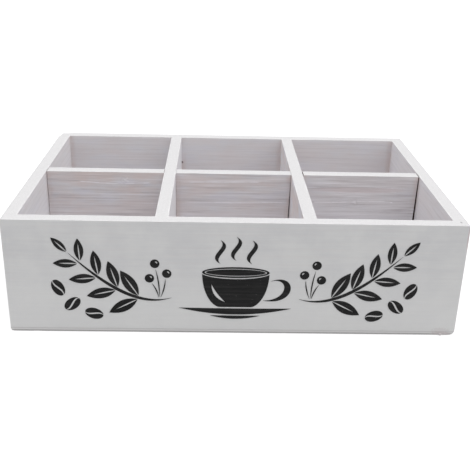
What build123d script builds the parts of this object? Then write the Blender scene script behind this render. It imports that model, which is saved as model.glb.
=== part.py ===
from build123d import *
import math
import os

# Open box with six pockets for a drinks counter, made of painted boards on a thin ply base.
# Millimetres. The origin is on the surface it stands on, under the middle of the box.
# X runs along the box to the right, Y from front to back and Z up.

# Box
box_length = 305.0
box_depth = 206.5
wall_height = 79.5
board_thickness = 9.0
base_thickness = 3.0
outer_edge_radius = 1.2
front_edge_radius = 0.4
inner_edge_radius = 0.35
worn_corner_radius = 3.6

# The right cross divider was nailed a little left of its third
right_divider_shift = -0.8

# Gaps at the ends of the short dividers, which are cut by hand and not quite square
snug_gap = 0.1
fine_gap = 0.25
narrow_gap = 0.45
wide_gap = 2.3

# Brads that hold the boards, set below the face and filled over
brad_length = 25.0
brad_diameter = 1.2
brad_head_diameter = 2.0
brad_head_height = 0.8
brad_point_length = 1.6
brad_set_depth = 1.0
corner_brad_margin = 14.0
corner_brad_count = 3
divider_brad_margin = 20.0
divider_brad_count = 2

# Shorter brads that hold the base, with their heads flush underneath. Those under the short
# dividers stand a little to the right of each pocket's middle.
base_brad_length = 15.0
base_brad_margin = 30.0
base_brad_offset = 12.0
base_front_brad_count = 4
base_side_brad_count = 3

# Painted motif on the front board: a cup on its saucer between two sprigs
print_film = 0.2
print_width = 246.0
print_height = 60.0
print_foot_height = 8.5
paint_gap = 0.9

cup_width = 45.0
cup_height = 26.0
cup_foot_width = 21.0
cup_foot_height = 9.0
rim_height = 8.0
rim_line = 1.7
handle_reach = 15.0
handle_line = 4.4
highlight_line = 2.2

saucer_width = 76.0
saucer_line = 4.6
saucer_bend = 3.4
saucer_foot_width = 34.0
saucer_foot_line = 2.4

steam_height = 17.0
steam_swing = 8.0
steam_line = 3.4
steam_spacing = 10.5
steam_lift = 2.4

stem_line = 2.2
leaf_length = 22.0
leaf_width = 8.4
leaf_rib = 1.0
leaf_lean = 43.0
leaf_pairs = 4
tip_leaf_length = 14.0
tip_leaf_width = 5.2
berry_diameter = 6.2
berry_stalk_line = 0.8
bean_length = 12.5
bean_width = 8.0
bean_split = 1.3

# Where the sprig's stem, berries and beans lie, as shares of the motif's width and height
stem_shares = [(0.175, 0.26), (0.26, 0.14), (0.35, 0.38), (0.45, 0.80)]
berry_shares = [(0.187, 0.56), (0.219, 0.68), (0.234, 0.50)]
bean_shares = [(0.388, 0.05), (0.446, 0.17), (0.482, 0.37)]
bean_turns = [18.0, -38.0, 64.0]
leaf_start_share = 0.27
leaf_end_share = 0.86
leaf_taper_share = 0.09
berry_stalk_share = 0.1

# Curves of the single shapes, as shares of the length, width or height of the shape they belong to
leaf_line_shares = [0.0, 0.3, 0.65, 1.0]
rib_line_shares = [-0.11, 0.2, 0.5, 0.8]
bean_wave_shares = [(-0.6, 0.0), (-0.2, 0.55), (0.2, -0.55), (0.6, 0.0)]
fleck_shares = [(-0.5, 0.0), (-0.5, 0.25), (-0.25, 0.5), (0.0, 0.5)]
fleck_line_share = 0.33
cup_side_height_share = 0.33
cup_foot_flare_share = 1.4
highlight_shares = [(-0.72, 0.66), (-0.66, 0.42), (-0.52, 0.26), (-0.3, 0.14)]
rim_squash_share = 0.65
handle_top_shares = [0.76, 1.06, 0.92]
handle_foot_shares = [0.2, 0.02, 0.2]
handle_foot_inset_share = 0.8

# Worked out from the sizes above
half_length = box_length / 2
half_depth = box_depth / 2
rim_top = base_thickness + wall_height
inner_length = box_length - 2 * board_thickness
inner_depth = box_depth - 2 * board_thickness
pocket_length = (inner_length - 2 * board_thickness) / 3
divider_pitch = pocket_length + board_thickness
left_divider_x = -divider_pitch / 2
right_divider_x = divider_pitch / 2 + right_divider_shift
side_board_x = half_length - board_thickness / 2
front_board_y = half_depth - board_thickness / 2


def spread(first, last, count):
    # Even places from first to last, both included
    return [first + (last - first) * step / (count - 1) for step in range(count)]


def block(x_span, y_span, z_span):
    # A plain board between two places on each axis
    size = [high - low for low, high in (x_span, y_span, z_span)]
    corner = [span[0] for span in (x_span, y_span, z_span)]
    return Pos(*corner) * Box(*size, align=(Align.MIN, Align.MIN, Align.MIN))


def brad(head_place, direction, length):
    # A pin with a flat head and a point, driven from its head towards direction
    radius = brad_diameter / 2
    head_radius = brad_head_diameter / 2
    profile = Polyline(
        (0, 0),
        (head_radius, 0),
        (head_radius, brad_head_height),
        (radius, brad_head_height),
        (radius, length - brad_point_length),
        (0, length),
        close=True,
    )
    pin = revolve(Plane.XZ * make_face(profile), Axis.Z)
    return Plane(origin=head_place, z_dir=direction) * pin


def brad_rows(places, direction, length):
    return [brad(place, direction, length) for place in places]


# Brads through the front and back boards

corner_brad_heights = [
    base_thickness + height
    for height in spread(corner_brad_margin, wall_height - corner_brad_margin, corner_brad_count)
]
divider_brad_heights = [
    base_thickness + height
    for height in spread(divider_brad_margin, wall_height - divider_brad_margin, divider_brad_count)
]
set_head_y = half_depth - brad_set_depth
set_head_x = half_length - brad_set_depth


def end_brads(x_places, heights, side):
    # side is -1 for the front board and 1 for the back board
    places = [(x, side * set_head_y, z) for x in x_places for z in heights]
    return brad_rows(places, (0, -side, 0), brad_length)


def side_brads():
    brads = []
    for side in (-1, 1):
        places = [(side * set_head_x, 0, z) for z in divider_brad_heights]
        brads += brad_rows(places, (-side, 0, 0), brad_length)
    return brads


def inner_brads():
    # Their heads lie under the ends of the outer short dividers
    reach = board_thickness / 2 - brad_set_depth
    brads = []
    for divider_x, side in ((left_divider_x, -1), (right_divider_x, 1)):
        places = [(divider_x + side * reach, 0, z) for z in divider_brad_heights]
        brads += brad_rows(places, (-side, 0, 0), brad_length)
    return brads


def bottom_brads():
    reach_x = half_length - base_brad_margin
    reach_y = half_depth - base_brad_margin
    along_front = spread(-reach_x, reach_x, base_front_brad_count)
    along_side = spread(-reach_y, reach_y, base_side_brad_count)
    places = [(x, side * front_board_y, 0) for side in (-1, 1) for x in along_front]
    places += [(side * side_board_x, y, 0) for side in (-1, 1) for y in along_side]
    for divider_x in (left_divider_x, right_divider_x):
        places += [(divider_x, y, 0) for y in (along_side[0], along_side[-1])]
    places += [(x + base_brad_offset, 0, 0) for x in (-divider_pitch, 0, divider_pitch)]
    return brad_rows(places, (0, 0, 1), base_brad_length)


brads = {
    "front_corner_brads": end_brads((-side_board_x, side_board_x), corner_brad_heights, -1),
    "back_corner_brads": end_brads((-side_board_x, side_board_x), corner_brad_heights, 1),
    "front_divider_brads": end_brads((left_divider_x, right_divider_x), divider_brad_heights, -1),
    "back_divider_brads": end_brads((left_divider_x, right_divider_x), divider_brad_heights, 1),
    "side_divider_brads": side_brads(),
    "inner_divider_brads": inner_brads(),
    "base_brads": bottom_brads(),
}
all_brads = [pin for group in brads.values() for pin in group]


def drilled(board):
    # Each brad fills its own hole in every board that it passes through
    return board - all_brads


# Boards


def front_panel():
    # Full-width board. Its ends carry on the eased tops of the sides, and the edge around its
    # face is a sharp one.
    y_span = (-half_depth, board_thickness - half_depth)
    panel = block((-half_length, half_length), y_span, (base_thickness, rim_top))
    end_edges = panel.faces().sort_by(Axis.Z)[-1].edges().filter_by(Axis.Y)
    panel = fillet(end_edges, outer_edge_radius)
    outline = panel.faces().filter_by(Axis.Y).sort_by(Axis.Y)[0].edges().sort_by(Axis.Z)
    return drilled(fillet(outline[1:], front_edge_radius))


def back_panel():
    # Full-width board with its upright corners rounded first and then its outer top edges eased
    y_span = (half_depth - board_thickness, half_depth)
    panel = block((-half_length, half_length), y_span, (base_thickness, rim_top))
    for place, radius in ((0, worn_corner_radius), (-1, outer_edge_radius)):
        outer_face = panel.faces().filter_by(Axis.Y).sort_by(Axis.Y)[-1]
        upright = outer_face.edges().filter_by(Axis.Z).sort_by(Axis.X)[place]
        panel = fillet(upright, radius)
    top_edges = panel.faces().sort_by(Axis.Z)[-1].edges().sort_by(Axis.Y)
    return drilled(fillet(top_edges[1:], outer_edge_radius))


def side_panel(side):
    # Board between the front and back, eased along its outer top edge
    x_span = sorted((side * half_length, side * (half_length - board_thickness)))
    y_span = (-inner_depth / 2, inner_depth / 2)
    panel = block(x_span, y_span, (base_thickness, rim_top))
    top_edges = panel.faces().sort_by(Axis.Z)[-1].edges().filter_by(Axis.Y)
    outer_edge = top_edges.sort_by(Axis.X)[0 if side < 0 else -1]
    return drilled(fillet(outer_edge, outer_edge_radius))


def eased_top(board, axis):
    # Both long edges of a divider's top are rubbed down a little
    top_edges = board.faces().sort_by(Axis.Z)[-1].edges().filter_by(axis)
    return fillet(top_edges, inner_edge_radius)


def cross_divider(centre_x):
    x_span = (centre_x - board_thickness / 2, centre_x + board_thickness / 2)
    board = block(x_span, (-inner_depth / 2, inner_depth / 2), (base_thickness, rim_top))
    return drilled(eased_top(board, Axis.Y))


def long_divider(left_wall, right_wall, left_gaps, right_gaps):
    # Short board between two walls, with its gap at the top and the foot of each end
    outline = Polyline(
        (left_wall + left_gaps[1], base_thickness),
        (right_wall - right_gaps[1], base_thickness),
        (right_wall - right_gaps[0], rim_top),
        (left_wall + left_gaps[0], rim_top),
        close=True,
    )
    board = extrude(Plane.XZ * make_face(outline), board_thickness / 2, both=True)
    top_edges = board.faces().sort_by(Axis.Z)[-1].edges().filter_by(Axis.X)
    return drilled(fillet(top_edges, inner_edge_radius))


def base_panel():
    # The sheet's corners follow those of the boards on it
    outline = Rectangle(box_length, box_depth)
    corners = [
        (-1, -1, front_edge_radius), (1, -1, front_edge_radius),
        (1, 1, outer_edge_radius), (-1, 1, worn_corner_radius),
    ]
    for side_x, side_y, radius in corners:
        place = (side_x * half_length, side_y * half_depth, 0)
        outline = fillet(outline.vertices().sort_by_distance(place)[0], radius)
    return drilled(extrude(outline, base_thickness))


divider_half = board_thickness / 2
inner_wall = half_length - board_thickness
boards = {
    "front_panel": front_panel(),
    "back_panel": back_panel(),
    "left_side_panel": side_panel(-1),
    "right_side_panel": side_panel(1),
    "left_cross_divider": cross_divider(left_divider_x),
    "right_cross_divider": cross_divider(right_divider_x),
    "left_long_divider": long_divider(
        -inner_wall, left_divider_x - divider_half,
        (fine_gap, fine_gap), (snug_gap, snug_gap),
    ),
    "middle_long_divider": long_divider(
        left_divider_x + divider_half, right_divider_x - divider_half,
        (snug_gap, snug_gap), (snug_gap, wide_gap),
    ),
    "right_long_divider": long_divider(
        right_divider_x + divider_half, inner_wall,
        (narrow_gap, narrow_gap), (narrow_gap, wide_gap),
    ),
    "base_panel": base_panel(),
}


# Painted motif, drawn flat with X to the right and Y up, then laid on the front board


def stroke(points, weight):
    # A brush stroke along a cubic curve: thin at both ends and as wide as weight in its middle,
    # where such a curve moves by three quarters of what its two inner points move
    start, first, second, end = [Vector(*point) for point in points]
    across = (end - start).normalized().rotate(Axis.Z, 90) * (weight / 2 / 0.75)
    one_side = Bezier(start, first + across, second + across, end)
    other_side = Bezier(end, second - across, first - across, start)
    return make_face([one_side, other_side])


def leaf(place, angle, length, width):
    # A pointed leaf with a pale rib that is open at the stalk
    outline = stroke([(share * length, 0) for share in leaf_line_shares], width)
    rib = stroke([(share * length, 0) for share in rib_line_shares], leaf_rib)
    return Pos(place.X, place.Y) * Rot(0, 0, angle) * (outline - rib)


def bean(place, angle):
    # An oval split by a wavy line into two halves
    outline = Ellipse(bean_length / 2, bean_width / 2)
    wave = [(along * bean_length, across * bean_width) for along, across in bean_wave_shares]
    return Pos(place.X, place.Y) * Rot(0, 0, angle) * (outline - stroke(wave, bean_split))


def berry(place):
    # A round berry with a pale fleck
    radius = berry_diameter / 2
    fleck = [(x * radius, y * radius) for x, y in fleck_shares]
    return Pos(place.X, place.Y) * (Circle(radius) - stroke(fleck, radius * fleck_line_share))


def cup():
    half = cup_width / 2
    foot = cup_foot_width / 2
    bend_height = cup_height * cup_side_height_share
    flare = foot * cup_foot_flare_share
    left_side = Bezier((-half, cup_height), (-half, bend_height), (-flare, 0), (-foot, 0))
    right_side = Bezier((foot, 0), (flare, 0), (half, bend_height), (half, cup_height))
    foot_line = Line((-foot, 0), (foot, 0))
    rim_chord = Line((half, cup_height), (-half, cup_height))
    body = make_face([left_side, foot_line, right_side, rim_chord])
    rim_centre = Pos(0, cup_height)
    rim_half = rim_height / 2
    body -= rim_centre * Ellipse(half + paint_gap, rim_half + paint_gap)
    highlight = [(x * half, y * cup_height) for x, y in highlight_shares]
    body -= stroke(highlight, highlight_line)
    hollow = Ellipse(half - rim_line, rim_half - rim_line * rim_squash_share)
    ring = rim_centre * (Ellipse(half, rim_half) - hollow)
    inset = rim_line + paint_gap
    drink = rim_centre * Ellipse(half - inset, rim_half - inset * rim_squash_share)
    return [body, ring, drink, handle()]


def handle():
    # A loop beside the cup, thickest at its right
    half = cup_width / 2
    outer_reach = half + handle_reach / 0.75
    inner_reach = outer_reach - handle_line / 0.75
    end_top, outer_top, inner_top = [share * cup_height for share in handle_top_shares]
    end_foot, outer_foot, inner_foot = [share * cup_height for share in handle_foot_shares]
    start = (half + paint_gap, end_top)
    end = (half * handle_foot_inset_share + paint_gap, end_foot)
    outside = Bezier(start, (outer_reach, outer_top), (outer_reach, outer_foot), end)
    inside = Bezier(end, (inner_reach, inner_foot), (inner_reach, inner_top), start)
    return make_face([outside, inside])


def saucer():
    # A shallow plate under the cup and the shorter curve of its foot
    def curve(width, height, bend, line):
        half = width / 2
        low = height - bend
        return stroke([(-half, height), (-half / 3, low), (half / 3, low), (half, height)], line)

    foot_height = -paint_gap - saucer_bend - saucer_line / 2
    plate = curve(saucer_width, -paint_gap, saucer_bend, saucer_line)
    foot = curve(saucer_foot_width, foot_height, saucer_bend / 2, saucer_foot_line)
    return [plate, foot]


def steam():
    # Three wavy wisps over the cup, the middle one a little higher
    low = cup_height + rim_height / 2 + steam_lift
    third = steam_height / 3
    wisps = []
    for place in (-1, 0, 1):
        x = place * steam_spacing
        lift = (1 - abs(place)) * steam_lift
        points = [
            (x, low + lift),
            (x - steam_swing, low + lift + third),
            (x + steam_swing, low + lift + 2 * third),
            (x, low + lift + steam_height),
        ]
        wisps.append(stroke(points, steam_line))
    return wisps


def at_share(x_share, y_share):
    return Vector(x_share * print_width, y_share * print_height)


def berry_stalk(stem_place, berry_place):
    # A thin stroke that bows from the stem to just short of a berry
    towards = (berry_place - stem_place).normalized()
    start = stem_place + towards * (stem_line / 2 + paint_gap)
    end = berry_place - towards * (berry_diameter / 2 + paint_gap)
    step = (end - start) / 3
    bow = towards.rotate(Axis.Z, 90) * paint_gap
    points = [start, start + step + bow, start + step * 2 + bow, end]
    return stroke([(point.X, point.Y) for point in points], berry_stalk_line)


def sprig():
    # The right-hand sprig, with leaves in pairs along its stem and one at its tip
    points = [at_share(*share) for share in stem_shares]
    stem_curve = Bezier(*points)
    shapes = [stroke([(point.X, point.Y) for point in points], stem_line)]
    for number, where in enumerate(spread(leaf_start_share, leaf_end_share, leaf_pairs)):
        direction = stem_curve % where
        angle = math.degrees(math.atan2(direction.Y, direction.X))
        size = 1 - leaf_taper_share * number
        for side in (-1, 1):
            lean = angle + side * leaf_lean
            away = Vector(math.cos(math.radians(lean)), math.sin(math.radians(lean)))
            place = stem_curve @ where + away * (stem_line / 2 + paint_gap)
            shapes.append(leaf(place, lean, leaf_length * size, leaf_width * size))
    tip_direction = stem_curve % 1
    tip_angle = math.degrees(math.atan2(tip_direction.Y, tip_direction.X))
    tip = stem_curve @ 1 + tip_direction * paint_gap
    shapes.append(leaf(tip, tip_angle, tip_leaf_length, tip_leaf_width))
    for share in berry_shares:
        shapes.append(berry(at_share(*share)))
        shapes.append(berry_stalk(stem_curve @ berry_stalk_share, at_share(*share)))
    shapes += [bean(at_share(*share), turn) for share, turn in zip(bean_shares, bean_turns)]
    return shapes


def front_print():
    middle = [Pos(0, cup_foot_height) * shape for shape in cup() + saucer() + steam()]
    right = sprig()
    left = [mirror(shape, Plane.YZ) for shape in right]
    board_face = Plane(
        origin=(0, -half_depth, base_thickness + print_foot_height),
        x_dir=(1, 0, 0),
        z_dir=(0, -1, 0),
    )
    film = []
    for shape in middle + right + left:
        for face in shape.faces():
            film += extrude(board_face * face, print_film).solids()
    return film


# One file for each named piece


def write_piece(name, solids):
    shape = solids[0] if len(solids) == 1 else Compound(children=solids)
    shape.label = name
    export_step(shape, os.path.join("parts", name + ".step"))


os.makedirs("parts", exist_ok=True)
for name, board in boards.items():
    write_piece(name, board.solids())
for name, group in brads.items():
    write_piece(name, [solid for pin in group for solid in pin.solids()])
write_piece("front_print", front_print())
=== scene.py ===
import math
import bmesh
import bpy
from mathutils import Matrix, Vector, noise


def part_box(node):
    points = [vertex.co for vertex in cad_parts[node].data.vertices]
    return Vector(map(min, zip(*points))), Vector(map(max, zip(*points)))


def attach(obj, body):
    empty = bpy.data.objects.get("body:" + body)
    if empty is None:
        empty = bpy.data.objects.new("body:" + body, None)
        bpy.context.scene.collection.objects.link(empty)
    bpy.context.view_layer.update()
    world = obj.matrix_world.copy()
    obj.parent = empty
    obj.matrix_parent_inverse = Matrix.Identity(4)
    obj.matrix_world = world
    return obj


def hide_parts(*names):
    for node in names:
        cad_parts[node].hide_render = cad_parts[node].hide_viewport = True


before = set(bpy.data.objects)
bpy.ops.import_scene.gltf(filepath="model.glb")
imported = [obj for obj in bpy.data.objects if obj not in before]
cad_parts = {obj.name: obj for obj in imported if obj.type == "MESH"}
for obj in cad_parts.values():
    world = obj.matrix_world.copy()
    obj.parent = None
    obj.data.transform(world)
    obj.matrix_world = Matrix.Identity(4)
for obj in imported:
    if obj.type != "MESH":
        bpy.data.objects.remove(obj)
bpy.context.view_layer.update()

mm = 0.001
print("frame loaded,", len(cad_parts), "nodes")

# How much further out the sides and the back stand than their solids
swell = {"sides": 0.5 * mm, "back": 1.2 * mm}

# The box's own sizes, read from the frame: its outside, its rim and its six pockets
baseLow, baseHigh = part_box("base_panel")
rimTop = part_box("front_panel")[1].z
boxLow = Vector((baseLow.x - swell["sides"], baseLow.y, 0.0))
boxHigh = Vector((baseHigh.x + swell["sides"], baseHigh.y + swell["back"], rimTop))
wallFaces = [
    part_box("left_side_panel")[1].x,
    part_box("left_cross_divider")[0].x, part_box("left_cross_divider")[1].x,
    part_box("right_cross_divider")[0].x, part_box("right_cross_divider")[1].x,
    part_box("right_side_panel")[0].x,
]
rowFaces = [
    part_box("front_panel")[1].y,
    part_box("middle_long_divider")[0].y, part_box("middle_long_divider")[1].y,
    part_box("back_panel")[0].y,
]


def pocketSpans(faces):
    # The middle and half the width of each pocket between its two faces
    return [((low + high) / 2, (high - low) / 2) for low, high in zip(faces[::2], faces[1::2])]


pocketColumns = pocketSpans(wallFaces)
pocketRows = pocketSpans(rowFaces)


def addObject(name, data):
    thing = bpy.data.objects.new(name, data)
    bpy.context.scene.collection.objects.link(thing)
    return thing


def addMeshObject(name, mesh):
    shape = bpy.data.meshes.new(name)
    mesh.to_mesh(shape)
    mesh.free()
    return addObject(name, shape)


# Camera, at the angle that the photograph was taken from

camera = {
    "place": (-15.19 * mm, -548.67 * mm, 265.0 * mm),
    "lens": 57.006,
    "sensor": 36.0,
    "nearest": 10 * mm,
    "tilt": -23.229,        # degrees from level, where down is negative
    "turn": -1.790,
    "roll": 1.499,
}


def placeCamera():
    data = bpy.data.cameras.new("photoCamera")
    data.lens = camera["lens"]
    data.sensor_width = camera["sensor"]
    data.clip_start = camera["nearest"]
    eye = addObject("photoCamera", data)
    turn = Matrix.Rotation(math.radians(camera["turn"]), 4, "Z")
    tilt = Matrix.Rotation(math.radians(90 + camera["tilt"]), 4, "X")
    roll = Matrix.Rotation(math.radians(camera["roll"]), 4, "Z")
    eye.matrix_world = Matrix.Translation(camera["place"]) @ turn @ tilt @ roll
    bpy.context.scene.camera = eye


placeCamera()
print("camera placed")


def at(x, y, z):
    # Millimetres as metres
    return (x * mm, y * mm, z * mm)


def screenColour(red, green, blue):
    # A colour picked on screen, 0 to 255, as the linear values that nodes take
    def straight(level):
        share = level / 255
        return share / 12.92 if share <= 0.04045 else ((share + 0.055) / 1.055) ** 2.4
    return (straight(red), straight(green), straight(blue), 1.0)


# Short ways to add nodes. Each gives back the new node or its output.

def addNode(tree, kind, inputs=None, **options):
    node = tree.nodes.new("ShaderNode" + kind)
    for option, value in options.items():
        setattr(node, option, value)
    for socket, value in (inputs or {}).items():
        if isinstance(value, bpy.types.NodeSocket):
            tree.links.new(value, node.inputs[socket])
        else:
            node.inputs[socket].default_value = value
    return node


def maths(tree, operation, first, second=0.0, third=0.0):
    return addNode(tree, "Math", {0: first, 1: second, 2: third}, operation=operation).outputs[0]


def times(tree, first, second):
    return maths(tree, "MULTIPLY", first, second)


def vectorMaths(tree, operation, first, second):
    return addNode(tree, "VectorMath", {0: first, 1: second}, operation=operation).outputs[0]


def lengthOf(tree, vector):
    return addNode(tree, "VectorMath", {0: vector}, operation="LENGTH").outputs["Value"]


def splitAxes(tree, vector):
    return addNode(tree, "SeparateXYZ", {0: vector}).outputs


def fade(tree, value, start, end, low=0.0, high=1.0):
    # Smooth step of value between two places, from low to high
    inputs = {"Value": value, "From Min": start, "From Max": end, "To Min": low, "To Max": high}
    return addNode(tree, "MapRange", inputs, interpolation_type="SMOOTHSTEP").outputs[0]


def blendColour(tree, share, first, second):
    return addNode(tree, "Mix", {0: share, 6: first, 7: second}, data_type="RGBA").outputs[2]


def tint(tree, colour, mask, strength, other):
    # The colour, drawn towards another one under a mask
    return blendColour(tree, times(tree, mask, strength), colour, other)


def speckle(tree, vector, scale, detail=2.0, rough=0.5):
    inputs = {"Vector": vector, "Scale": scale, "Detail": detail, "Roughness": rough}
    return addNode(tree, "TexNoise", inputs).outputs["Fac"]


# Ways to start, end and use a node group, and to start and fill a material

origin = (0.0, 0.0, 0.0)
nowhere = (0.0, 0.0, -1.0)      # a knot or mark there is under the floor, so it shows nowhere


def startGroup(name, inputs, outputs):
    group = bpy.data.node_groups.new(name, "ShaderNodeTree")
    for title, value in inputs.items():
        kind = {float: "NodeSocketFloat", tuple: "NodeSocketVector"}[type(value)]
        socket = group.interface.new_socket(name=title, in_out="INPUT", socket_type=kind)
        socket.default_value = value
    for title, kind in outputs.items():
        group.interface.new_socket(name=title, in_out="OUTPUT", socket_type="NodeSocket" + kind)
    return group, group.nodes.new("NodeGroupInput").outputs, group.nodes.new("NodeGroupOutput").inputs


def giveOut(group, made, *values):
    for socket, value in zip(made, values):
        group.links.new(value, socket)


def useGroup(tree, group, inputs):
    return addNode(tree, "Group", inputs, node_tree=group).outputs


def startMaterial(name):
    material = bpy.data.materials.new(name)
    material.use_nodes = True
    tree = material.node_tree
    return material, tree, tree.nodes["Principled BSDF"].inputs


def fillShader(tree, shader, colour, roughness, height, relief, strength=1.0):
    bump = addNode(tree, "Bump", {"Height": height, "Strength": strength, "Distance": relief})
    tree.links.new(colour, shader["Base Color"])
    tree.links.new(roughness, shader["Roughness"])
    tree.links.new(bump.outputs["Normal"], shader["Normal"])


# Light, floor and backdrop

studio = {
    "white": (1.0, 1.0, 1.0, 1.0),
    "floorSize": 9.0,
    "floorParts": 4,
    "floorDrop": 0.2 * mm,
    "floorColour": screenColour(184, 184, 184),
    "floorRoughness": 0.9,
    "floorGlow": 0.68,      # seen by the camera alone, so that it lifts no shadow on the box
    "surround": 0.58,
    "suns": {
        "rightSoftbox": {"power": 1.34, "softness": 60.0, "from": (1.0, -0.2, 1.3)},
        "leftSoftbox": {"power": 0.77, "softness": 60.0, "from": (-1.0, -0.2, 1.3)},
    },
}


def lightStudio():
    bpy.context.scene.view_settings.view_transform = "Standard"
    world = bpy.data.worlds.new("paleRoom")
    world.use_nodes = True
    tree = world.node_tree
    room = tree.nodes["Background"].inputs
    room["Color"].default_value = studio["white"]
    seen = addNode(tree, "LightPath").outputs["Is Camera Ray"]
    glow = maths(tree, "MULTIPLY_ADD", seen, 1.0 - studio["surround"], studio["surround"])
    tree.links.new(glow, room["Strength"])
    bpy.context.scene.world = world
    for name, sun in studio["suns"].items():
        data = bpy.data.lights.new(name, "SUN")
        data.energy = sun["power"]
        data.angle = math.radians(sun["softness"])
        lamp = addObject(name, data)
        lamp.rotation_euler = Vector(sun["from"]).to_track_quat("Z", "Y").to_euler()


def layFloor():
    mesh = bmesh.new()
    parts = studio["floorParts"]
    bmesh.ops.create_grid(mesh, x_segments=parts, y_segments=parts, size=studio["floorSize"] / 2)
    bmesh.ops.translate(mesh, vec=(0.0, 0.0, -studio["floorDrop"]), verts=mesh.verts)
    floor = addMeshObject("floor", mesh)
    paper, tree, shader = startMaterial("paleFloor")
    shader["Base Color"].default_value = studio["floorColour"]
    shader["Roughness"].default_value = studio["floorRoughness"]
    shader["Specular IOR Level"].default_value = 0.0
    shader["Emission Color"].default_value = studio["white"]
    seen = addNode(tree, "LightPath").outputs["Is Camera Ray"]
    tree.links.new(times(tree, seen, studio["floorGlow"]), shader["Emission Strength"])
    floor.data.materials.append(paper)


lightStudio()
layFloor()
print("studio lit")


# Node groups that the finishes share. A pair of numbers in a dictionary says where something
# starts to fade in and where it is whole.

def pocketGroup():
    # Wall: how far out a point is in the wood from the nearest pocket. Corner: how far along a
    # pocket's wall it is from an upright corner.
    outputs = {"Wall": "Float", "Corner": "Float"}
    group, given, made = startGroup("pocketWalls", {"Place": origin}, outputs)
    parts = splitAxes(group, given["Place"])

    def nearest(value, spans):
        shortest = None
        for middle, half in spans:
            offset = maths(group, "ABSOLUTE", maths(group, "SUBTRACT", value, middle))
            gap = maths(group, "SUBTRACT", offset, half)
            shortest = gap if shortest is None else maths(group, "MINIMUM", shortest, gap)
        return shortest

    across = nearest(parts["X"], pocketColumns)
    along = nearest(parts["Y"], pocketRows)
    wall = maths(group, "MAXIMUM", across, along)
    corner = maths(group, "MAXIMUM", maths(group, "ABSOLUTE", across), maths(group, "ABSOLUTE", along))
    giveOut(group, made, wall, corner)
    return group


arris = {
    "reach": 1.1 * mm,
    "patchSize": 14 * mm, "patchDetail": 4.0, "patchRough": 0.65,
    "patches": (0.35, 0.7),
    "soft": (0.25 * mm, -0.2 * mm),
}


def wearGroup(pockets):
    # Arrises of the whole box, for rubbed wear and for the rim's painted highlight: the second nearest of
    # its outside faces and pocket walls
    inputs = {
        "Place": origin,
        "Low": tuple(boxLow),
        "High": tuple(boxHigh),
        "Reach": arris["reach"],
        "Patch Size": arris["patchSize"],
    }
    group, given, made = startGroup("arrisWearAndHighlight", inputs, {"Arris Mask": "Float"})
    fromLow = vectorMaths(group, "SUBTRACT", given["Place"], given["Low"])
    fromHigh = vectorMaths(group, "SUBTRACT", given["High"], given["Place"])
    gaps = splitAxes(group, vectorMaths(group, "MINIMUM", fromLow, fromHigh))
    wall = maths(group, "ABSOLUTE", useGroup(group, pockets, {"Place": given["Place"]})["Wall"])
    nearSide = maths(group, "MINIMUM", gaps["X"], gaps["Y"])
    farSide = maths(group, "MAXIMUM", gaps["X"], gaps["Y"])
    nearRest = maths(group, "MINIMUM", gaps["Z"], wall)
    farRest = maths(group, "MAXIMUM", gaps["Z"], wall)
    larger = maths(group, "MAXIMUM", nearSide, nearRest)
    second = maths(group, "MINIMUM", larger, maths(group, "MINIMUM", farSide, farRest))
    patchScale = maths(group, "DIVIDE", 1.0, given["Patch Size"])
    patch = speckle(group, given["Place"], patchScale, arris["patchDetail"], arris["patchRough"])
    reach = times(group, given["Reach"], fade(group, patch, *arris["patches"]))
    giveOut(group, made, fade(group, maths(group, "SUBTRACT", second, reach), *arris["soft"]))
    return group


# A noise here is its stretch along the grain, its scale, its detail and its roughness
grainLook = {
    "spacing": 4.6 * mm,
    "sway": 9 * mm,
    "drift": (0.16, 26.0, 2.0, 0.5),
    "climb": 0.6,           # how much the rings shift through the board's thickness
    "knotSize": 3.4 * mm, "knotShape": (0.5, 0.5, 1.0), "knotPull": (2.4, 0.0),
    "ringStart": (0.45, 0.93), "ringEnd": (1.0, 0.95),
    "breaks": (0.35, 60.0, 3.0, 0.5), "breakFade": (0.36, 0.6),
    "fibre": (0.035, 560.0, 4.0, 0.68), "fibreHeight": 0.5,
    "tint": (0.3, 75.0, 3.0, 0.55),
    "lineHeight": -0.3,
}


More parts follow.
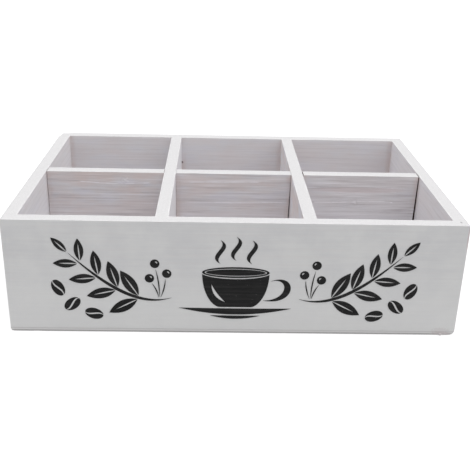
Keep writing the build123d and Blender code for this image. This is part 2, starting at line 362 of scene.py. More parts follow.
def grainGroup():
    # Softwood grain along X of Along, bent round a knot
    inputs = {
        "Along": origin,
        "Place": origin,
        "Spacing": grainLook["spacing"],
        "Drift": grainLook["sway"],
        "Knot": nowhere,
        "Knot Size": grainLook["knotSize"],
    }
    outputs = {"Tint": "Float", "Lines": "Float", "Fibre": "Float", "Height": "Float"}
    group, given, made = startGroup("boardGrain", inputs, outputs)

    def grainNoise(stretch, scale, detail, rough):
        stretched = vectorMaths(group, "MULTIPLY", given["Along"], (stretch, 1.0, 1.0))
        return speckle(group, stretched, scale, detail, rough)

    parts = splitAxes(group, given["Along"])
    drift = maths(group, "SUBTRACT", grainNoise(*grainLook["drift"]), 0.5)
    wobble = times(group, drift, given["Drift"])
    across = maths(group, "MULTIPLY_ADD", parts["Y"], grainLook["climb"], parts["Z"])
    across = maths(group, "ADD", across, wobble)
    offset = vectorMaths(group, "SUBTRACT", given["Place"], given["Knot"])
    offset = vectorMaths(group, "MULTIPLY", offset, grainLook["knotShape"])
    distance = maths(group, "DIVIDE", lengthOf(group, offset), given["Knot Size"])
    pull = fade(group, distance, *grainLook["knotPull"])
    lift = splitAxes(group, offset)["Z"]
    across = maths(group, "SUBTRACT", across, times(group, lift, pull))
    field = maths(group, "ADD", maths(group, "DIVIDE", across, given["Spacing"]), drift)
    ring = maths(group, "FRACT", field)
    starts = fade(group, ring, *grainLook["ringStart"])
    lines = times(group, starts, fade(group, ring, *grainLook["ringEnd"]))
    breaks = fade(group, grainNoise(*grainLook["breaks"]), *grainLook["breakFade"])
    lines = times(group, lines, breaks)
    fibre = grainNoise(*grainLook["fibre"])
    height = times(group, fibre, grainLook["fibreHeight"])
    height = maths(group, "MULTIPLY_ADD", lines, grainLook["lineHeight"], height)
    giveOut(group, made, grainNoise(*grainLook["tint"]), lines, fibre, height)
    return group


ridgeLook = {
    "width": 1.1 * mm,
    "squeeze": (1.0, 0.2, 0.2),
    "wanderScale": 70.0, "wander": 0.8 * mm,
    "bow": 4.0,             # makes the sag whole at the middle of the line
    "dashScale": 130.0, "dashes": (0.4, 0.56, 0.5),     # the third is what is left between them
    "ends": (0.0, 0.06),
    "edge": (0.55, 0.15),
}


def ridgeGroup():
    # A pale raised line of grain from Start to End, sagging between them, in uneven dashes
    inputs = {
        "Place": origin,
        "Start": origin,
        "End": (1.0, 0.0, 0.0),
        "Sag": 0.0,
        "Width": ridgeLook["width"],
    }
    group, given, made = startGroup("raisedGrain", inputs, {"Ridge": "Float"})
    place, start, end = [splitAxes(group, given[title]) for title in ("Place", "Start", "End")]
    inputs = {"Value": place["X"], "From Min": start["X"], "From Max": end["X"]}
    share = addNode(group, "MapRange", inputs).outputs[0]
    inputs = {"Value": share, "To Min": start["Z"], "To Max": end["Z"]}
    line = addNode(group, "MapRange", inputs).outputs[0]
    rest = maths(group, "SUBTRACT", 1.0, share)
    bow = times(group, times(group, share, rest), ridgeLook["bow"])
    line = maths(group, "SUBTRACT", line, times(group, bow, given["Sag"]))
    squeezed = vectorMaths(group, "MULTIPLY", given["Place"], ridgeLook["squeeze"])
    wander = maths(group, "SUBTRACT", speckle(group, squeezed, ridgeLook["wanderScale"]), 0.5)
    line = maths(group, "MULTIPLY_ADD", wander, ridgeLook["wander"], line)
    away = maths(group, "ABSOLUTE", maths(group, "SUBTRACT", place["Z"], line))
    away = maths(group, "DIVIDE", away, given["Width"])
    dashes = fade(group, speckle(group, squeezed, ridgeLook["dashScale"]), *ridgeLook["dashes"])
    ends = fade(group, maths(group, "MINIMUM", share, rest), *ridgeLook["ends"])
    ridge = times(group, fade(group, away, *ridgeLook["edge"]), dashes)
    giveOut(group, made, times(group, ridge, ends))
    return group


knotLook = {
    "bendScale": 420.0, "bendDetail": 1.0, "bend": (0.7, 0.0, 0.7),
    "eye": (0.46, 0.2),
    "rimPlace": 0.7, "rim": (0.3, 0.05),
    "strokeSlope": 0.5, "stroke": (0.3, 0.08),
    "strokeReach": (1.2, 0.9), "strokeSide": (-0.2, 0.1),
}


def knotGroup():
    # A pin knot: a pale eye, the dark rim round it and the strokes of grain that part beside it
    inputs = {"Place": origin, "Middle": nowhere, "Size": grainLook["knotSize"]}
    outputs = {"Eye": "Float", "Rim": "Float", "Strokes": "Float"}
    group, given, made = startGroup("pinKnot", inputs, outputs)
    offset = vectorMaths(group, "SUBTRACT", given["Place"], given["Middle"])
    size = addNode(group, "CombineXYZ", {0: given["Size"], 1: 1.0, 2: given["Size"]}).outputs[0]
    offset = vectorMaths(group, "DIVIDE", offset, size)
    inputs = {"Vector": given["Place"], "Scale": knotLook["bendScale"], "Detail": knotLook["bendDetail"]}
    bend = addNode(group, "TexNoise", inputs).outputs["Color"]
    bend = vectorMaths(group, "SUBTRACT", bend, (0.5, 0.5, 0.5))
    offset = vectorMaths(group, "ADD", offset, vectorMaths(group, "MULTIPLY", bend, knotLook["bend"]))
    parts = splitAxes(group, offset)
    share = lengthOf(group, offset)
    eye = fade(group, share, *knotLook["eye"])
    fromRim = maths(group, "ABSOLUTE", maths(group, "SUBTRACT", share, knotLook["rimPlace"]))
    rim = fade(group, fromRim, *knotLook["rim"])
    slope = times(group, parts["X"], knotLook["strokeSlope"])
    rise = maths(group, "SUBTRACT", maths(group, "ABSOLUTE", parts["Z"]), slope)
    strokes = fade(group, maths(group, "ABSOLUTE", rise), *knotLook["stroke"])
    strokes = times(group, strokes, fade(group, share, *knotLook["strokeReach"]))
    strokes = times(group, strokes, fade(group, parts["X"], *knotLook["strokeSide"]))
    giveOut(group, made, eye, rim, strokes)
    return group


spotLook = {
    "ragged": 0.5, "raggedGain": 3.0,
    "grainSize": 1.2 * mm, "detail": 3.0, "rough": 0.6,
    "edge": (1.0, 0.6),
}


def spotGroup():
    # A small mark with a ragged outline and its own reach on each axis
    inputs = {
        "Place": origin,
        "Middle": nowhere,
        "Reach": (1.0, 1.0, 1.0),
        "Ragged": spotLook["ragged"],
        "Grain Size": spotLook["grainSize"],
    }
    group, given, made = startGroup("paintSpot", inputs, {"Mask": "Float"})
    offset = vectorMaths(group, "SUBTRACT", given["Place"], given["Middle"])
    share = lengthOf(group, vectorMaths(group, "DIVIDE", offset, given["Reach"]))
    grainScale = maths(group, "DIVIDE", 1.0, given["Grain Size"])
    rough = speckle(group, given["Place"], grainScale, spotLook["detail"], spotLook["rough"])
    rough = maths(group, "SUBTRACT", rough, 0.5)
    gain = times(group, given["Ragged"], spotLook["raggedGain"])
    share = maths(group, "MULTIPLY_ADD", rough, gain, share)
    giveOut(group, made, fade(group, share, *spotLook["edge"]))
    return group


# Clouds and specks have their detail and roughness after their size
driedLook = {
    "cloudSize": 22 * mm, "clouds": (3.0, 0.6),
    "speckSize": 0.9 * mm, "specks": (2.0, 0.55),
    "pitShare": 2.6, "pitDetail": 1.0, "pits": (0.3, 0.42), "pitHeight": 0.3,
}


def driedGroup():
    # Dried paint: soft clouds, small speckle and the fine pits of a sprayed coat
    inputs = {
        "Place": origin,
        "Cloud Size": driedLook["cloudSize"],
        "Speck Size": driedLook["speckSize"],
    }
    outputs = {"Clouds": "Float", "Specks": "Float", "Height": "Float"}
    group, given, made = startGroup("driedPaint", inputs, outputs)
    cloudScale = maths(group, "DIVIDE", 1.0, given["Cloud Size"])
    speckScale = maths(group, "DIVIDE", 1.0, given["Speck Size"])
    clouds = speckle(group, given["Place"], cloudScale, *driedLook["clouds"])
    specks = speckle(group, given["Place"], speckScale, *driedLook["specks"])
    pitScale = times(group, speckScale, driedLook["pitShare"])
    pits = speckle(group, given["Place"], pitScale, driedLook["pitDetail"])
    pits = fade(group, pits, *driedLook["pits"])
    giveOut(group, made, clouds, specks, maths(group, "MULTIPLY_ADD", pits, driedLook["pitHeight"], specks))
    return group


pocketWalls = pocketGroup()
arrisWearAndHighlight = wearGroup(pocketWalls)
boardGrain = grainGroup()
raisedGrain = ridgeGroup()
pinKnot = knotGroup()
paintSpot = spotGroup()
driedPaint = driedGroup()
print("node groups made")


# Paint on the boards: a full coat outside, a thin one in the pockets and a sanded rim

paint = {
    "outside": screenColour(230, 230, 230),
    "outsideShade": screenColour(219, 219, 221),
    # painted light: the outside's paler tone towards the foot
    "paintedLowLight": screenColour(237, 237, 237),
    "inside": screenColour(221, 220, 223),
    "insideWarm": screenColour(220, 208, 206),
    "insideCool": screenColour(217, 215, 225),
    # painted shade in the pockets' corners, warmed by the wood's colour
    "insideCornerShade": screenColour(214, 200, 196),
    "insideDark": screenColour(181, 173, 176),
    # a board's thicker coat, and painted light deeper in the pockets
    "insideThickAndLit": screenColour(237, 235, 238),
    "rim": screenColour(229, 228, 229),
    "rimShade": screenColour(218, 217, 218),
    # painted highlight along the rim's arrises
    "arrisHighlight": screenColour(248, 247, 248),
    "bareWood": screenColour(206, 180, 178),
    "chipped": screenColour(208, 199, 200),
    "jointShade": screenColour(188, 187, 188),
    # dark raw wood in the divider gaps, darkened further as painted shade
    "gap": screenColour(76, 38, 32),
    "ridge": screenColour(245, 242, 246),
    "stain": screenColour(95, 80, 88),
    "nick": screenColour(168, 167, 170),
}

coats = {
    "rimZone": (0.45 * mm, 0.15 * mm),          # depths under the top
    "pocketZone": (1.4 * mm, 0.6 * mm),         # depths in the wood
    "shadeFibre": 0.35, "shadeClouds": 0.65, "shade": (0.3, 0.7),
    "outsideLines": 0.08,
    "lowLightStart": 12 * mm, "lowLightStrength": 0.6,    # from this far under the top, down to the foot
    "jointDrop": 0.2 * mm, "joint": (0.5 * mm, 0.15 * mm), "jointStrength": 0.3,
    "warmClouds": (0.4, 0.65), "warmCloudShare": 0.5,
    "warmGrain": (0.4, 0.62), "warmGrainShare": 0.8,
    "coolGrain": (0.5, 0.32),
    # painted light: the pocket paint grows paler between these depths under the top
    "deep": (6 * mm, 38 * mm), "deepLightStrength": 0.5,     # depths under the top
    "darkFibre": (0.5, 0.24), "darkStrength": 0.75,
    "paleFibre": (0.5, 0.74), "paleStrength": 0.85,
    "corner": (5.5 * mm, 1 * mm), "cornerClouds": (0.36, 0.6), "cornerStrength": 0.5,
    "sanded": (0.35, 0.65), "sandedStrength": 0.6,
    "arrisHighlightStrength": 0.5,
    # painted shade along the outer arrises of the side rims
    "dull": (2.0 * mm, 0.6 * mm), "outerShadeStrength": 0.6,
    "bareClouds": (0.56, 0.66), "bareStrength": 0.3,
    "roughness": 0.44, "cloudRoughness": 0.14, "pocketRoughness": 0.1, "rimRoughness": 0.14,
    "grainHeight": (0.35, 1.0),                 # outside and in a pocket
    "coatHeight": (0.12, 0.5),                  # elsewhere and on the rim
}


def paintGroup():
    inputs = {
        "Place": origin,
        "Along": origin,
        "Knot": nowhere,
        "Raw": 0.0,
        "Warmth": 0.5,
        "Streaks": 0.5,
        "Line Strength": 0.2,
        "Thick Coat": 0.0,
    }
    outputs = {"Color": "Color", "Roughness": "Float", "Height": "Float"}
    group, given, made = startGroup("paintedWood", inputs, outputs)
    parts = splitAxes(group, given["Place"])
    pockets = useGroup(group, pocketWalls, {"Place": given["Place"]})
    grain = useGroup(group, boardGrain, {title: given[title] for title in ("Place", "Along", "Knot")})
    coat = useGroup(group, driedPaint, {"Place": given["Place"]})
    arrisMask = useGroup(group, arrisWearAndHighlight, {"Place": given["Place"]})["Arris Mask"]

    # Zones: the rim on top, and what faces a pocket
    rim = fade(group, parts["Z"], *[rimTop - depth for depth in coats["rimZone"]])
    inside = fade(group, pockets["Wall"], *coats["pocketZone"])

    # Full coat outside, painted paler towards the foot as painted light, with a painted shadow line where
    # the boards stand on the ply
    shade = times(group, coat["Clouds"], coats["shadeClouds"])
    shade = maths(group, "MULTIPLY_ADD", grain["Fibre"], coats["shadeFibre"], shade)
    shade = fade(group, shade, *coats["shade"])
    outside = blendColour(group, shade, paint["outside"], paint["outsideShade"])
    outside = tint(group, outside, grain["Lines"], coats["outsideLines"], paint["insideWarm"])
    # Painted light: the outside is painted paler from some way under the top down to the foot
    low = fade(group, parts["Z"], rimTop - coats["lowLightStart"], 0.0, 0.0, coats["lowLightStrength"])
    outside = blendColour(group, low, outside, paint["paintedLowLight"])
    joint = maths(group, "SUBTRACT", parts["Z"], baseHigh.z - coats["jointDrop"])
    joint = fade(group, maths(group, "ABSOLUTE", joint), *coats["joint"])
    outside = tint(group, outside, joint, coats["jointStrength"], paint["jointShade"])

    # Thin coat in the pockets, where the wood's colour comes through
    clouds = fade(group, coat["Clouds"], *coats["warmClouds"])
    clouds = times(group, clouds, coats["warmCloudShare"])
    warmth = fade(group, grain["Tint"], *coats["warmGrain"])
    warmth = maths(group, "MULTIPLY_ADD", warmth, coats["warmGrainShare"], clouds)
    pocket = tint(group, paint["inside"], warmth, given["Warmth"], paint["insideWarm"])
    cool = fade(group, grain["Tint"], *coats["coolGrain"])
    pocket = tint(group, pocket, cool, given["Warmth"], paint["insideCool"])
    # Painted light: the pockets are painted paler deeper down; a board's Thick Coat pales them as a thicker
    # coat
    deep = fade(group, parts["Z"], *[rimTop - depth for depth in coats["deep"]])
    deep = times(group, deep, coats["deepLightStrength"])
    thickAndLit = maths(group, "MAXIMUM", deep, given["Thick Coat"])
    pocket = blendColour(group, thickAndLit, pocket, paint["insideThickAndLit"])
    dark = times(group, fade(group, grain["Fibre"], *coats["darkFibre"]), given["Streaks"])
    pocket = tint(group, pocket, dark, coats["darkStrength"], paint["insideDark"])
    pale = times(group, fade(group, grain["Fibre"], *coats["paleFibre"]), given["Streaks"])
    pocket = tint(group, pocket, pale, coats["paleStrength"], paint["ridge"])
    pocket = tint(group, pocket, grain["Lines"], given["Line Strength"], paint["insideDark"])
    # Warmer, darker tone near the pockets' upright corners: painted shade in part, and in part the wood's
    # colour through the thin coat
    corner = fade(group, pockets["Corner"], *coats["corner"])
    corner = times(group, corner, fade(group, coat["Clouds"], *coats["cornerClouds"]))
    pocket = tint(group, pocket, corner, coats["cornerStrength"], paint["insideCornerShade"])

    # Sanded rim, with a painted highlight along its arrises, and painted shade along the outsides of the
    # two sides
    sanded = fade(group, coat["Specks"], *coats["sanded"])
    top = tint(group, paint["rim"], sanded, coats["sandedStrength"], paint["rimShade"])
    # Painted highlight: the rim is drawn whiter along its arrises
    top = tint(group, top, arrisMask, coats["arrisHighlightStrength"], paint["arrisHighlight"])
    # Painted shade: the rim is darkened along the outsides of the two side boards
    outer = maths(group, "SUBTRACT", boxHigh.x, maths(group, "ABSOLUTE", parts["X"]))
    outer = fade(group, outer, *coats["dull"])
    top = tint(group, top, outer, coats["outerShadeStrength"], paint["rimShade"])

    # The zones together, and bare wood where an arris below the rim is rubbed
    colour = blendColour(group, inside, outside, pocket)
    bare = times(group, arrisMask, fade(group, coat["Clouds"], *coats["bareClouds"]))
    colour = tint(group, colour, bare, coats["bareStrength"], paint["bareWood"])
    colour = blendColour(group, rim, colour, top)

    # Raw wood in the gaps at the ends of the short dividers, painted very dark: the bare wood's colour
    # together with painted shade in the narrow gaps
    colour = blendColour(group, given["Raw"], colour, paint["gap"])

    rough = maths(group, "MULTIPLY_ADD", coat["Clouds"], coats["cloudRoughness"], coats["roughness"])
    rough = maths(group, "MULTIPLY_ADD", inside, coats["pocketRoughness"], rough)
    rough = maths(group, "MULTIPLY_ADD", rim, coats["rimRoughness"], rough)
    rough = maths(group, "MAXIMUM", rough, given["Raw"])
    grainShare = fade(group, inside, 0.0, 1.0, *coats["grainHeight"])
    coatShare = fade(group, rim, 0.0, 1.0, *coats["coatHeight"])
    grainHeight = times(group, grain["Height"], grainShare)
    coatHeight = times(group, coat["Height"], coatShare)
    giveOut(group, made, colour, rough, maths(group, "ADD", grainHeight, coatHeight))
    return group


paintedWood = paintGroup()
print("paint mixed")

rawWood = {
    "facing": (0.55, 0.85),                     # how squarely a surface faces along X
    "stripEdge": (0.1 * mm, 1.3 * mm),          # depths in from the short divider's faces
    "stripTop": (0.9 * mm, 1.6 * mm),           # depths under the rim
    "outerSide": (2 * mm, 1 * mm),              # depths in the side boards
}


def rawZone(tree, board, coordinates):
    # Where a board keeps its raw wood: a short divider's ends, or the strip that faces such an end
    if board["raw"] == "ends":
        facing = maths(tree, "ABSOLUTE", splitAxes(tree, coordinates["Normal"])["X"])
        return fade(tree, facing, *rawWood["facing"], 0.0, board["rawShare"])
    if board["raw"] == "strip":
        parts = splitAxes(tree, coordinates["Object"])
        edge = [rowFaces[2] - depth for depth in rawWood["stripEdge"]]
        top = [rimTop - depth for depth in rawWood["stripTop"]]
        side = [wallFaces[-1] + depth for depth in rawWood["outerSide"]]
        across = fade(tree, maths(tree, "ABSOLUTE", parts["Y"]), *edge, 0.0, board["rawShare"])
        below = fade(tree, parts["Z"], *top)
        inner = fade(tree, maths(tree, "ABSOLUTE", parts["X"]), *side)
        return times(tree, across, times(tree, below, inner))
    return 0.0


boardFinish = {"specular": 0.35, "knotRim": 0.12, "knotPale": 0.42}


def boardPaint(board):
    # The finish of one board: its grain runs along it, and it has its own ridges, knots and marks
    material, tree, shader = startMaterial(board["name"] + "Paint")
    coordinates = addNode(tree, "TexCoord").outputs
    place = coordinates["Object"]
    turn = math.radians(90) if board["grain"] == "Y" else 0.0
    inputs = {"Vector": place, "Location": board["plank"], "Rotation": (0.0, 0.0, turn)}
    along = addNode(tree, "Mapping", inputs).outputs["Vector"]
    inputs = {"Place": place, "Along": along, "Raw": rawZone(tree, board, coordinates)}
    finish = useGroup(tree, paintedWood, {**inputs, **board["wood"]})
    colour = finish["Color"]
    height = finish["Height"]
    if board["coat"]:
        colour = board["coat"](tree, coordinates, colour)
    for start, end, sag, strength in board["ridges"]:
        inputs = {"Place": place, "Start": start, "End": end, "Sag": sag}
        ridge = useGroup(tree, raisedGrain, inputs)["Ridge"]
        ridge = times(tree, ridge, strength)
        colour = blendColour(tree, ridge, colour, paint["ridge"])
        height = maths(tree, "ADD", height, ridge)
    for middle, pale in board["knots"]:
        knot = useGroup(tree, pinKnot, {"Place": place, "Middle": middle})
        colour = tint(tree, colour, knot["Rim"], boardFinish["knotRim"], paint["insideDark"])
        colour = tint(tree, colour, knot[pale], boardFinish["knotPale"], paint["ridge"])
        height = maths(tree, "ADD", height, knot[pale])
    for middle, reach, ragged, strength, shade in board["marks"]:
        inputs = {"Place": place, "Middle": middle, "Reach": reach, "Ragged": ragged}
        mask = useGroup(tree, paintSpot, inputs)["Mask"]
        colour = tint(tree, colour, mask, strength, paint[shade])
    fillShader(tree, shader, colour, finish["Roughness"], height, board["bump"])
    shader["Specular IOR Level"].default_value = boardFinish["specular"]
    return material


# Boards

sides = {
    "left": Vector((-1, 0, 0)), "right": Vector((1, 0, 0)),
    "front": Vector((0, -1, 0)), "back": Vector((0, 1, 0)),
    "under": Vector((0, 0, -1)), "top": Vector((0, 0, 1)),
}

# The radius of each kind of edge
rounding = {
    "outer": 1.2 * mm,
    "front": 0.4 * mm,
    "inner": 0.35 * mm,
    "joint": 0.12 * mm,     # every edge that its board doesn't name
    "wornCorner": 5.0 * mm,
    "side": 0.8 * mm,
    "foot": 0.8 * mm,
    "footCorner": 2.3 * mm,
}

handWork = {
    "gridStep": 2.0 * mm,
    "longShare": 0.3,       # the grid divides the edges longer than this share of the board
    "roundingSteps": 4, "roundingShape": 0.5,
    "edgeLoop": 0.15 * mm,
    "snap": 0.005 * mm,     # a corner this near to a cut or to another corner counts as on it
    "dentCuts": 3,
    "seedSpread": 100,      # sets the noise of one board far from that of the next
    "wornReach": 1.6 * mm,
    "hiddenDepth": 1.3 * mm,
    "faceWave": 0.03 * mm, "faceWaveSize": 21 * mm,
    "arrisWave": 0.1 * mm, "arrisWaveSize": 6 * mm,
    "dent": 0.16 * mm, "dentSize": 10 * mm, "dentShare": 0.42, "dentGain": 4,
}

# The filled hollow over a set brad's head. The grid is finer within finerReach radii of it.
filler = {"headRadius": 1.0 * mm, "radius": 1.7 * mm, "finerReach": 1.6}

# This dent is in both boards that meet at the back left
knockedCorner = (at(-153.0, 104.45, 82.5), 15 * mm, at(1.3, -0.8, -0.3))


def sideOf(face):
    return max(sides, key=lambda side: sides[side].dot(face.normal))


def surfaceGaps(place):
    # How deep a point is under the box's nearest outside face on each axis, and apart from them
    # under the nearest pocket wall. Each one is the axis, the depth and the way into the wood.
    gaps = []
    for axis in range(3):
        fromLow, fromHigh = place[axis] - boxLow[axis], boxHigh[axis] - place[axis]
        gaps.append((axis, fromLow, 1.0) if fromLow < fromHigh else (axis, fromHigh, -1.0))
    walls = []
    for axis, pockets in ((0, pocketColumns), (1, pocketRows)):
        offsets = [(place[axis] - middle, half) for middle, half in pockets]
        gap, offset = min((abs(offset) - half, offset) for offset, half in offsets)
        walls.append((gap, axis, math.copysign(1.0, offset)))
    gap, axis, way = max(walls)
    return gaps, (axis, abs(gap), way)


def roundedBlock(board, low, high):
    # A block with its own radius on each named edge
    mesh = bmesh.new()
    middle = (low + high) / 2
    bmesh.ops.create_cube(mesh, size=1.0)
    bmesh.ops.scale(mesh, vec=high - low, verts=mesh.verts)
    bmesh.ops.translate(mesh, vec=middle, verts=mesh.verts)
    rightEnd = [vert for vert in mesh.verts if vert.co.x > middle.x]
    for vert in rightEnd:
        vert.co.x -= board["headBack"] if vert.co.z > middle.z else board["footBack"]
    mesh.normal_update()
    radii = {frozenset(pair): rounding[kind] for pair, kind in board["edges"].items()}
    weights = mesh.edges.layers.float.new("bevel_weight_edge")
    largest = max(radii.values())
    for edge in mesh.edges:
        pair = frozenset(sideOf(face) for face in edge.link_faces)
        edge[weights] = radii.get(pair, rounding["joint"]) / largest
    block = addMeshObject("block", mesh)
    bevel = block.modifiers.new("rounding", "BEVEL")
    bevel.limit_method = "WEIGHT"
    bevel.width = largest
    bevel.segments = handWork["roundingSteps"]
    bevel.profile = handWork["roundingShape"]
    bevel.use_clamp_overlap = False
    rounded = bpy.data.meshes.new_from_object(block.evaluated_get(bpy.context.evaluated_depsgraph_get()))
    bpy.data.objects.remove(block)
    mesh = bmesh.new()
    mesh.from_mesh(rounded)
    return mesh, sorted(set(radii.values()))


def divideMesh(mesh, low, high, radii):
    # A support loop beside each size of rounding, then an even grid
    for axis in range(3):
        direction = Vector((0.0, 0.0, 0.0))
        direction[axis] = 1.0
        third = (high[axis] - low[axis]) / 3
        margins = {min(radius + handWork["edgeLoop"], third) for radius in radii}
        places = [low[axis] + margin for margin in margins] + [high[axis] - margin for margin in margins]
        for place in sorted(places):
            bmesh.ops.bisect_plane(
                mesh, geom=mesh.verts[:] + mesh.edges[:] + mesh.faces[:],
                dist=handWork["snap"], plane_co=direction * place, plane_no=direction,
            )
    for axis in range(3):
        span = high[axis] - low[axis]
        least = span * handWork["longShare"]
        far = [edge for edge in mesh.edges if abs((edge.verts[0].co - edge.verts[1].co)[axis]) > least]
        cuts = max(1, round(span / handWork["gridStep"]) - 1)
        bmesh.ops.subdivide_edges(mesh, edges=far, cuts=cuts, use_grid_fill=True)


def refineMesh(mesh, places, reach):
    # A finer grid where a small dent or filled brad head goes
    def isNear(face):
        return any((face.calc_center_median() - place).length < reach for place in places)

    near = [edge for edge in mesh.edges if any(isNear(face) for face in edge.link_faces)]
    if near:
        bmesh.ops.subdivide_edges(mesh, edges=near, cuts=handWork["dentCuts"], use_grid_fill=True)


def wearMesh(mesh, board, dimples):
    # Moves the surface inwards a little, most along the open arrises, and pushes the dimples
    seed = Vector(board["plank"]) * handWork["seedSpread"]
    moves = []
    for vert in mesh.verts:
        gaps, wall = surfaceGaps(vert.co)
        outside = sorted(gap for axis, gap, way in gaps)
        nearest, second = sorted(outside + [wall[1]])[:2]
        depth = 0.0
        if nearest < handWork["hiddenDepth"]:
            wave = noise.noise(vert.co / handWork["faceWaveSize"] + seed)
            depth += handWork["faceWave"] * (0.5 + 0.5 * wave)
            worn = max(0.0, 1.0 - second / handWork["wornReach"]) ** 2
            wave = noise.noise(vert.co / handWork["arrisWaveSize"] + seed)
            depth += worn * handWork["arrisWave"] * (0.5 + 0.5 * wave)
            knocked = max(0.0, 1.0 - outside[1] / handWork["wornReach"]) ** 2
            dent = noise.noise(vert.co / handWork["dentSize"] - seed) - handWork["dentShare"]
            depth += knocked * handWork["dent"] * max(0.0, dent) * handWork["dentGain"]
        inward = Vector((0.0, 0.0, 0.0))
        for axis, gap, way in gaps + [wall]:
            inward[axis] += way * max(0.0, 1.0 - gap / handWork["hiddenDepth"])
        if inward.length > 1.0:
            inward.normalize()
        move = inward * depth
        for place, radius, push in dimples:
            share = (vert.co - place).length / radius
            move += push * max(0.0, 1.0 - share * share) ** 2
        moves.append((vert, move))
    for vert, move in moves:
        vert.co += move
        vert.co.z = max(vert.co.z, boxLow.z)
    bmesh.ops.remove_doubles(mesh, verts=mesh.verts, dist=handWork["snap"])
    bmesh.ops.dissolve_degenerate(mesh, edges=mesh.edges, dist=handWork["snap"])


def bradPlaces(node, rows, face):
    # Where the set heads of a group of brads lie on the face of a board
    low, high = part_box(node)
    head = filler["headRadius"]
    lift = (high.z - low.z - 2 * head) / (rows - 1)
    heights = [low.z + head + lift * step for step in range(rows)]
    return [Vector((x, face, z)) for x in (low.x + head, high.x - head) for z in heights]


boardDefaults = {
    "grain": "X",
    "plank": origin,                # where in the timber the board is cut from
    "edges": {},
    "headBack": 0.0,                # how far the right end stands back at its top and its foot
    "footBack": 0.0,
    "raw": "none",
    "rawShare": 1.0,                # how bare and dark that raw wood is
    "coat": None,
    "wood": {},
    "bump": 0.14 * mm,
    "slot": "painted_wood",
    "brads": [],                    # each row is a node, how many it has in height, face and push
    "dents": [],                    # place, radius and push
    "ridges": [],                   # start, end, sag and strength
    "knots": [],                    # middle and the part of it that is pale
    "marks": [],                    # middle, reach, raggedness, strength and colour
}


def makeBoard(settings):
    board = {**boardDefaults, **settings}
    low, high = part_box(board["node"])
    low, high = low.copy(), high.copy()
    for axis in (0, 1):
        if low[axis] < baseLow[axis] + swell["sides"]:
            low[axis] = boxLow[axis]
        if high[axis] > baseHigh[axis] - swell["sides"]:
            high[axis] = boxHigh[axis]
    mesh, radii = roundedBlock(board, low, high)
    divideMesh(mesh, low, high, radii)
    dimples = [
        (place, filler["radius"], Vector(push))
        for node, rows, face, push in board["brads"] for place in bradPlaces(node, rows, face)
    ]
    dimples += [(Vector(place), radius, Vector(push)) for place, radius, push in board["dents"]]
    small = [place for place, radius, push in dimples if radius < handWork["gridStep"]]
    refineMesh(mesh, small, filler["radius"] * filler["finerReach"])
    wearMesh(mesh, board, dimples)
    for face in mesh.faces:
        face.smooth = True
    piece = addMeshObject(board["name"], mesh)
    piece.data.materials.append(boardPaint(board))
    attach(piece, "root")
    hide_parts(board["node"])
    print("board made:", board["name"], len(piece.data.polygons), "faces")


frontBoard = {
    "name": "frontBoard",
    "node": "front_panel",
    "plank": (0.31, 0.02, 0.11),
    "edges": {
        ("front", "top"): "front", ("front", "left"): "front", ("front", "right"): "front",
        ("left", "top"): "side", ("right", "top"): "side",
    },
    "brads": [
        ("front_corner_brads", 3, boxLow.y, at(0.0, 0.03, 0.0)),
        ("front_divider_brads", 2, boxLow.y, at(0.0, 0.03, 0.0)),
    ],
    "dents": [(at(148.2, -97.35, 82.5), 1.5 * mm, at(0.0, 0.0, -0.3))],
    "marks": [
        (at(148.2, -97.35, 82.4), at(0.8, 1.8, 1.0), 0.1, 0.7, "nick"),
        (at(152.6, -103.2, 74.0), at(0.9, 1.0, 12.0), 0.3, 0.4, "bareWood"),
        (at(143.0, -103.2, 3.0), at(8.0, 2.0, 3.4), 0.55, 0.3, "chipped"),
    ],
}
makeBoard(frontBoard)

backBoard = {
    "name": "backBoard",
    "node": "back_panel",
    "plank": (1.27, 0.05, 0.23),
    "edges": {
        ("back", "top"): "side", ("back", "left"): "wornCorner", ("back", "right"): "outer",
        ("left", "top"): "side", ("right", "top"): "side",
    },
    "wood": {"Warmth": 0.4, "Streaks": 0.3, "Line Strength": 0.1, "Thick Coat": 0.25},
    "brads": [
        ("back_corner_brads", 3, boxHigh.y, at(0.0, -0.07, 0.0)),
        ("back_divider_brads", 2, boxHigh.y, at(0.0, -0.07, 0.0)),
    ],
    "dents": [knockedCorner],
    "marks": [(at(-44.3, 94.25, 59.6), at(1.0, 1.0, 1.2), 0.3, 0.85, "stain")],
}
makeBoard(backBoard)

leftBoard = {
    "name": "leftBoard",
    "node": "left_side_panel",
    "grain": "Y",
    "plank": (0.74, 0.31, 0.36),
    "edges": {("left", "top"): "side"},
    "raw": "strip",
    "dents": [knockedCorner],
    "wood": {"Warmth": 0.2, "Streaks": 0.3, "Line Strength": 0.1},
}
makeBoard(leftBoard)

rightBoard = {
    "name": "rightBoard",
    "node": "right_side_panel",
    "grain": "Y",
    "plank": (0.15, 0.92, 0.42),
    "edges": {("right", "top"): "side"},
    "raw": "strip",
    "wood": {"Warmth": 0.35, "Streaks": 0.35, "Line Strength": 0.1, "Thick Coat": 0.45},
}
makeBoard(rightBoard)

leftCross = {
    "name": "leftCrossDivider",
    "node": "left_cross_divider",
    "grain": "Y",
    "plank": (1.62, 0.4, 0.09),
    "edges": {("left", "top"): "inner", ("right", "top"): "inner"},
    "raw": "strip",
    "wood": {"Warmth": 0.0, "Streaks": 0.35, "Line Strength": 0.1, "Thick Coat": 0.4},
}
makeBoard(leftCross)

rightCross = {
    "name": "rightCrossDivider",
    "node": "right_cross_divider",
    "grain": "Y",
    "plank": (2.3, 0.17, 0.28),
    "edges": {("left", "top"): "inner", ("right", "top"): "inner"},
    "raw": "strip",
    "rawShare": 0.2,
    "wood": {"Warmth": 0.8, "Streaks": 0.35, "Line Strength": 0.1},
}
makeBoard(rightCross)

dividerEdges = {
    ("front", "top"): "inner", ("back", "top"): "inner",
    ("left", "top"): "inner", ("right", "top"): "inner",
}

